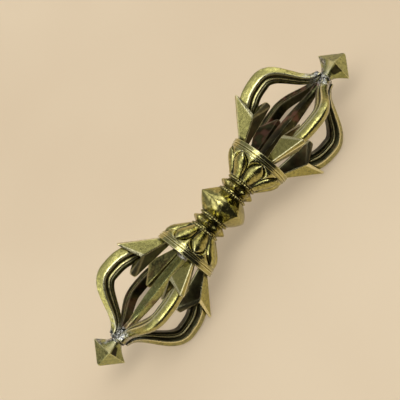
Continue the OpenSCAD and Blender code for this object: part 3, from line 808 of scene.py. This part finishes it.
def barb_shell():
    """The barb: a four-ridged bud on the rim with an open mouth between an outer and an inner lip."""
    tip, corner, nose = (RIM_FACE + v for v in (OUTER_LIP_AT, MOUTH_CORNER_AT, INNER_LIP_AT))
    middle_r = (BARB_ROOT_OUT_R + BARB_ROOT_IN_R) / 2
    floor = RIM_FACE + MOUTH_FLOOR_AT
    outer = corner_path([
        (RIM_FACE, LIP_HALF / 2, BARB_ROOT_OUT_R),
        (tip, LIP_HALF, OUTER_LIP_R),
        (tip + LIP_CHAMFER, LIP_HALF - LIP_FALL, OUTER_LIP_R - LIP_CHAMFER),
        (floor, MOUTH_FLOOR_HALF / 2, MOUTH_FLOOR_R + MOUTH_FLOOR_HALF),
    ], OUTER_LIP_ROUNDING, BARB_RUNS)
    ridge = corner_path([
        (RIM_FACE, BARB_ROOT_HALF, middle_r),
        (corner, MOUTH_HALF, MOUTH_CORNER_R),
        (corner + LIP_EDGE, MOUTH_HALF - LIP_FALL, MOUTH_CORNER_R + LIP_CHAMFER),
        (floor, MOUTH_FLOOR_HALF, MOUTH_FLOOR_R),
    ], SIDE_LIP_ROUNDING, BARB_RUNS)
    inner = corner_path([
        (RIM_FACE, LIP_HALF / 2, BARB_ROOT_IN_R),
        (nose, LIP_HALF, INNER_LIP_R),
        (nose, LIP_HALF - LIP_CHAMFER / 2, INNER_LIP_R + INNER_LIP_THICKNESS),
        (floor, MOUTH_FLOOR_HALF / 2, MOUTH_FLOOR_R - MOUTH_FLOOR_HALF),
    ], NOSE_ROUNDING, BARB_RUNS)
    flip = np.array([1, -1, 1])
    rings, dark, bright = [], [], []
    for past_lip, (a, b, c) in enumerate(zip(outer, ridge, inner), start=-BARB_RUNS[0]):
        inside = smoothstep(14, 18, past_lip)
        lip = band(past_lip, -1, 2, 13, 16)
        side_skin = [v * (1 - inside) + MOUTH_SKIN * inside for v in BARB_SIDE_SKIN]
        corners = [a, b, c, c * flip, b * flip, a * flip]
        ring, ring_dark, on_ridge = rounded_ring(corners, side_skin, BARB_RIDGE_ROUNDING, BARB_SIDE_STEPS)
        rubbed = rounded_ring(corners, LIP_RUBBED, BARB_RIDGE_ROUNDING, BARB_SIDE_STEPS)[1]
        rings.append(ring)
        bright.append(np.maximum(lip * rubbed, on_ridge * (1 - inside)))
        dark.append(ring_dark * (1 - bright[-1]))
    vertices, faces = skin(rings)
    return vertices, faces, np.concatenate(dark), np.concatenate(bright)


# How dark and how red the inner sides of each prong are, how dark and how red its crown is, and how much tin has run
# over the end of its arm
PRONG_LOOKS = {
    "top_front": (0.9, 0.35, 0.0, 0.0, 0.7),
    "top_back": (0.9, 0.15, 0.0, 0.0, 0.7),
    "bottom_front": (1.0, 0.2, 0.0, 0.0, 0.35),
    # The hindmost prong's crown is darkened all over, as painted shade together with casting skin
    "bottom_back": (1.0, 0.9, 0.62, 0.5, 0.35),
}
# The left end has less red oxide than the right
END_RED = {"left": 0.45, "right": 1.0}
# The hindmost barb is dark on the right and worn on the left
BARB_SKIN = {"left": 0.55, "right": 1.1}


def prong_pieces():
    roofed = arm_shell(arm_half_section(ROOF_ACROSS, ROOF_HEIGHT, ROOF_GROOVE, ROOF_TARNISH))
    worn_round = arm_shell(arm_half_section(ROUND_ACROSS, ROUND_HEIGHT, ROUND_GROOVE))
    barb_vertices, barb_faces, barb_dark, barb_bright = barb_shell()
    # Dirt and painted shade where the barbs meet the rim
    barb_root_dirt_and_shade = 0.65 * smoothstep(RIM_FACE + 1.8, RIM_FACE + 0.2, barb_vertices[:, 0])
    for i, (end, side) in enumerate(SIDES.items()):
        for j, (corner, turn) in enumerate(TURNS.items()):
            name = f"prong_{end}_{corner}"
            inner_skin, inner_red, crown_skin_and_shade, crown_red, arm_tin = PRONG_LOOKS[corner]
            rubbed = 1 - 1.5 * crown_skin_and_shade
            arm_vertices, arm_faces, arm_dark, arm_bright = worn_round if corner == "top_front" else roofed
            arm_shares = {
                "dark": np.maximum(arm_dark * inner_skin, crown_skin_and_shade),
                "bright": arm_bright * rubbed,
                "red": np.maximum(inner_red * smoothstep(0.5, 0.8, arm_dark), crown_red) * END_RED[end],
                "tin": arm_tin * smoothstep(PRONG_END - 6.0, PRONG_END - 1.0, arm_vertices[:, 0]),
            }
            barb_skin = np.maximum(barb_dark * inner_skin, crown_skin_and_shade)
            if corner == "bottom_back":
                barb_skin = barb_skin * BARB_SKIN[end]
            barb_shares = {
                "dark": np.maximum(barb_skin, barb_root_dirt_and_shade),
                "bright": barb_bright * rubbed,
                "red": np.maximum(inner_red * smoothstep(0.3, 0.6, barb_dark), crown_red) * END_RED[end],
            }
            make_piece(
                name + "_cast",
                [
                    (placed(arm_vertices, side, turn), arm_faces, arm_shares),
                    (placed(barb_vertices, side, turn), barb_faces, barb_shares),
                ],
                name, PRONG_BRASS, uneven=0.045, seed=40 + 4 * i + j, groove_rounds=8,
                groove_depth=0.12, edge_wear=0.6 * rubbed,
            )


# Centre prongs, finials and solder


# Roundness of the spindle and what its neck adds, and the finial's at its girdle and what its root and apex add
SPINDLE_ROUNDNESS, NECK_ROUNDNESS = 1.10, 0.9
GIRDLE_ROUNDNESS, ROOT_ROUNDNESS, APEX_ROUNDNESS = 1.05, 0.95, 0.9
FLARE_POWER = 1.4
# The flare's girdle lies this far inside the point's, and the apex this far inside the CAD box
GIRDLE_STEP, APEX_PLAY = 0.06, 0.02
APEX_CAP_SHARE = 0.55


def spindle_radius(x, angles):
    u = (x - RIM_FACE) / (PRONG_END - NECK_LENGTH - RIM_FACE)
    if u >= 1:
        return np.full(len(angles), NECK_R)
    r = SPINDLE_ROOT_R + (SPINDLE_END_R - SPINDLE_ROOT_R) * u + SPINDLE_SWELL * math.sin(math.pi * u)
    r = np.maximum(r, NECK_R * smoothstep(0.85, 1.0, u))
    return r * ridged(angles, SPINDLE_ROUNDNESS + NECK_ROUNDNESS * smoothstep(0.8, 1.0, u))


def spindle_shell():
    neck_start = PRONG_END - NECK_LENGTH
    stations = np.concatenate([
        np.linspace(RIM_FACE, neck_start, 44),
        np.linspace(neck_start + 0.3, FINIAL_START + 0.6, 14),
    ])
    return skin(turned_rings(stations, spindle_radius, ridge_angles()))


def finial_shell():
    """The finial: a flare from its round root to the sharp girdle, and a four-sided point."""
    angles = ridge_angles()
    rings = []
    for u in np.concatenate([np.linspace(0, 0.96, 20), [0.985, 1.0]]):
        r = FINIAL_ROOT_R + (GIRDLE_R - GIRDLE_STEP - FINIAL_ROOT_R) * u ** FLARE_POWER
        reach = r * ridged(angles, 2 - ROOT_ROUNDNESS * (1 - (1 - u) ** 2))
        rings.append(turned_ring(FINIAL_START + u * FINIAL_FLARE, reach, angles))
    for u in np.concatenate([[0.02, 0.05], np.linspace(0.1, 0.94, 15), [0.975, 0.993, 1.0]]):
        r = (GIRDLE_R + (APEX_R - GIRDLE_R) * u) * (1 if u < 0.99 else APEX_CAP_SHARE)
        reach = r * ridged(angles, GIRDLE_ROUNDNESS + APEX_ROUNDNESS * smoothstep(0.93, 1.0, u))
        rings.append(turned_ring(GIRDLE_AT + u * (APEX - APEX_PLAY - GIRDLE_AT), reach, angles))
    return skin(rings)


# Profile of the solder at the tips, from the arms' ends to the root of the finial
SOLDER_PLACES = [46.2, 47.2, 48.4, 49.4, 50.2, 50.9, 51.4]
SOLDER_RADII = [0.9, 1.7, 2.2, 2.6, 2.7, 2.1, 1.2]
# The solder round the foot of each spindle
ROOT_SOLDER_R = SPINDLE_ROOT_R + 1.25
ROOT_SOLDER_LENGTH, ROOT_SOLDER_FALL, ROOT_SOLDER_POWER = 0.9, 1.3, 0.6
SOLDER_SKIN = 0.3
# How dark each centre prong is at its root, how much less toward its tip, and how red it is there
SPINDLE_SKIN = {"left": 0.40, "right": 0.85}
SPINDLE_SKIN_FALL = 0.16
SPINDLE_RED = {"left": 0.85, "right": 1.0}
# How much grey solder film has run over the upper side of each finial's flare, and over its root
FLARE_FILM = {"left": 0.9, "right": 0.7}
ROOT_FILM = 0.6
# Angle round the finial, before its turn, of the ridge that faces the camera, and the spread of the wedge
# of painted dark reflection below it
FRONT_RIDGE = 135
WEDGE = {"left": 44, "right": 56}


def tip_solder_radius(x):
    return np.interp(x, SOLDER_PLACES, SOLDER_RADII)


def root_solder_radius(x):
    risen = max(0, (x - RIM_FACE) / ROOT_SOLDER_LENGTH)
    return ROOT_SOLDER_R - ROOT_SOLDER_FALL * risen ** ROOT_SOLDER_POWER


def solder_shell(x_from, x_to, radius_at, lump, size, seed):
    """A turned shell with lumps about size across, lump high."""
    angles = even_angles(80)
    rings = np.array([turned_ring(x, radius_at(x), angles) for x in np.linspace(x_from, x_to, 48)])
    flat = rings.reshape(-1, 3)
    swell = lump * rough_noise(flat, size, seed)
    r = np.hypot(flat[:, 1], flat[:, 2])
    flat[:, 1:] *= np.maximum(0.2, 1 + swell / np.maximum(r, 0.3))[:, None]
    return skin(flat.reshape(rings.shape))


def spindle_shares(end, x):
    return {
        "dark": SPINDLE_SKIN[end] - SPINDLE_SKIN_FALL * smoothstep(RIM_FACE + 4, RIM_FACE + 14, x),
        "red": SPINDLE_RED[end] * smoothstep(RIM_FACE + 6, RIM_FACE + 15, x),
        "tin": 0.8 * smoothstep(PRONG_END - 4, PRONG_END - 1, x),
    }


def finial_shares(end, vertices):
    """On the flare a wedge of painted dark reflection, a strip by the front ridge that is rubbed and partly a
    painted highlight, and grey film; on the point one face darkened as painted shade.
    """
    x = vertices[:, 0]
    around = np.degrees(np.arctan2(vertices[:, 2], vertices[:, 1]))
    from_ridge = around - FRONT_RIDGE
    flare = smoothstep(GIRDLE_AT, GIRDLE_AT - 0.15, x)
    # Painted dark reflection: a wedge below the front ridge of the flare
    wedge = band(from_ridge, 2, 9, WEDGE[end] - 16, WEDGE[end])
    wedge = wedge * smoothstep(FINIAL_START + 0.4, FINIAL_START + 2.0, x)
    # A strip by the front ridge, partly rubbed wear and partly painted highlight
    strip = band(from_ridge, -40, -12, 0, 4)
    # Painted shade on the face of the point before the front ridge
    upper = band(from_ridge, -95, -85, -5, 0)
    film = ROOT_FILM * smoothstep(FINIAL_START + 1.2, FINIAL_START + 0.1, x)
    film += FLARE_FILM[end] * flare * smoothstep(-38, -62, from_ridge) * (around > 0)
    return {
        "dark": np.maximum(0.95 * wedge * flare, 0.48 * upper * (1 - flare)),
        "bright": strip * flare,
        "tin": np.clip(film, 0, 1),
    }


def solder_piece(place, end, side, shell, uneven, seed):
    vertices, faces = shell
    make_piece(f"solder_{place}_{end}", [(placed(vertices, side), faces, {"dark": SOLDER_SKIN})],
               f"{place}_solder_{end}", SOLDER, uneven=uneven, seed=seed, groove_rounds=12,
               groove_depth=0.2)


def centre_pieces():
    spindle_vertices, spindle_faces = spindle_shell()
    finial_vertices, finial_faces = finial_shell()
    for seed, (end, side) in enumerate(SIDES.items(), start=70):
        turn = CENTRE_TURN[end]
        make_piece(
            f"centre_prong_{end}_cast",
            [
                (placed(spindle_vertices, side, turn), spindle_faces, spindle_shares(end, spindle_vertices[:, 0])),
                (placed(finial_vertices, side, turn), finial_faces, finial_shares(end, finial_vertices)),
            ],
            f"centre_prong_{end}", FINIAL_BRASS, uneven=0.05, seed=seed, groove_rounds=8,
            groove_depth=0.10,
        )
        tip = solder_shell(SOLDER_PLACES[0], SOLDER_PLACES[-1], tip_solder_radius, 0.95, 1.1, seed)
        solder_piece("tip", end, side, tip, 0.06, seed + 4)
        root = solder_shell(RIM_FACE, RIM_FACE + ROOT_SOLDER_LENGTH, root_solder_radius, 0.35, 1.6, seed + 8)
        solder_piece("root", end, side, root, 0.05, seed + 12)


hub_pieces()
prong_pieces()
centre_pieces()
rod_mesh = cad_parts["core_rod"].data
rod_mesh.materials.clear()
rod_mesh.materials.append(ROD_BRASS)


# Camera, found by fitting a pinhole camera to measured points of the object

CAMERA_ELEVATION = math.radians(63.6)
CAMERA_AZIMUTH = math.radians(-8.36)
CAMERA_ROLL = math.radians(44.1)
CAMERA_DISTANCE = 320.0
CAMERA_ASIDE = (3.36, -6.41)
PIXELS_PER_MM = 398 / 120
PHOTO_SIDE = 400
SENSOR = 36.0
CLIP_START_M = 0.01


def make_camera():
    level = math.cos(CAMERA_ELEVATION)
    c, s = math.cos(CAMERA_AZIMUTH), math.sin(CAMERA_AZIMUTH)
    toward = Vector((s * level, -c * level, math.sin(CAMERA_ELEVATION)))
    right = Vector((c, s, 0))
    up = toward.cross(right)
    c, s = math.cos(CAMERA_ROLL), math.sin(CAMERA_ROLL)
    camera_x, camera_y = c * right - s * up, s * right + c * up
    place = Vector((0, 0, AXIS_Z)) + toward * CAMERA_DISTANCE - right * CAMERA_ASIDE[0] - up * CAMERA_ASIDE[1]
    data = bpy.data.cameras.new("camera")
    data.sensor_width = SENSOR
    data.lens = PIXELS_PER_MM * CAMERA_DISTANCE * SENSOR / PHOTO_SIDE
    data.clip_start = CLIP_START_M
    camera = add_object("camera", data)
    facing = Matrix((camera_x, camera_y, toward)).transposed().to_4x4()
    camera.matrix_world = Matrix.Translation(place * MM) @ facing
    bpy.context.scene.camera = camera


# Floor and light


# The floor is a light table, which keeps the shadows pale
FLOOR_GLOW = 0.46
FLOOR_SHADE = 0.7
FLOOR_DARKER, FLOOR_PALER = (0.70, 0.56, 0.39), (0.76, 0.62, 0.44)
FLOOR_CLOUDS_PER_MM = 0.006
FLOOR_HALF_M = 3.0
# The lamp over the object: its place, what it aims at, its sides, its strength and its colour
KEY_PLACE_M, KEY_AIM_M, KEY_SIDES_M = (0.03, 0.05, 0.58), (0.03, 0.03, 0), (0.30, 0.20)
KEY_WATTS = 0.30
KEY_COLOUR = (1.0, 0.98, 0.94)
TUNNEL_COLOUR = (1.0, 0.99, 0.96, 1)
# Strengths of the tunnel's dark side, its pale back, its overhead panel, its side panels and its closed ends
DARK_SIDE = 0.03
BACK_LOW, BACK_HIGH = 0.28, 0.50
OVERHEAD, BESIDE, CLOSING = 4.2, 1.0, 1.6


def make_floor():
    material, n, shader = new_material("pale_floor")
    clouds = n.noise(n.place(), FLOOR_CLOUDS_PER_MM, 3)
    pale = n.mix(n.ramp(clouds, 0.3, 0.7), FLOOR_DARKER, FLOOR_PALER)
    n.link(n.mix(FLOOR_SHADE, (0, 0, 0), pale), shader.inputs["Base Color"])
    n.link(pale, shader.inputs["Emission Color"])
    shader.inputs["Emission Strength"].default_value = FLOOR_GLOW
    shader.inputs["Roughness"].default_value = 0.9
    shader.inputs["Specular IOR Level"].default_value = 0.1
    mesh = bpy.data.meshes.new("floor")
    half = FLOOR_HALF_M
    mesh.from_pydata([(-half, -half, 0), (half, -half, 0), (half, half, 0), (-half, half, 0)], [], [(0, 1, 2, 3)])
    mesh.materials.append(material)
    floor = add_object("floor", mesh)


def make_key_lamp():
    data = bpy.data.lights.new("key", "AREA")
    data.shape = "RECTANGLE"
    data.size, data.size_y = KEY_SIDES_M
    data.energy = KEY_WATTS
    data.color = KEY_COLOUR
    lamp = add_object("key", data)
    lamp.location = KEY_PLACE_M
    lamp.rotation_euler = (Vector(KEY_AIM_M) - Vector(KEY_PLACE_M)).to_track_quat("-Z", "Y").to_euler()


def studio_world():
    """A light tunnel along the object: pale behind it, bright overhead, dark on the camera's side."""
    world = bpy.data.worlds.new("studio")
    bpy.context.scene.world = world
    world.use_nodes = True
    n = Nodes(world.node_tree)
    split = n.add("ShaderNodeSeparateXYZ")
    n.link(n.add("ShaderNodeTexCoord").outputs["Generated"], split.inputs[0])
    # Angle about the long axis, from the back at 0 over the top at 90 degrees, and the share along that axis
    angle = n.times(n.math("ARCTAN2", split.outputs["Z"], split.outputs["Y"]), 180 / math.pi)
    aside = n.math("ABSOLUTE", split.outputs["X"])
    back = n.ramp(angle, 30, 70, BACK_LOW, BACK_HIGH)
    overhead = n.times(n.ramp(angle, 79, 85, 0, OVERHEAD), n.ramp(aside, 0.30, 0.75, 1.0, 0.06))
    beside = n.times(n.ramp(angle, 32, 50, 0, BESIDE), n.ramp(angle, 62, 78, 1.0, 0.0))
    beside = n.times(beside, n.ramp(aside, 0.40, 0.70))
    lit = n.times(n.plus(n.plus(back, overhead), beside), n.ramp(angle, 90, 102, 1.0, 0.0))
    # A pale panel closes the tunnel at either end
    closing = n.times(n.ramp(aside, 0.86, 0.93, 0, CLOSING), n.ramp(angle, 80, 92, 1.0, 0.0))
    background = world.node_tree.nodes["Background"]
    background.inputs["Color"].default_value = TUNNEL_COLOUR
    n.link(n.plus(n.plus(lit, closing), DARK_SIDE), background.inputs["Strength"])


make_camera()
make_floor()
make_key_lamp()
studio_world()
bpy.context.scene.view_settings.view_transform = "Standard"
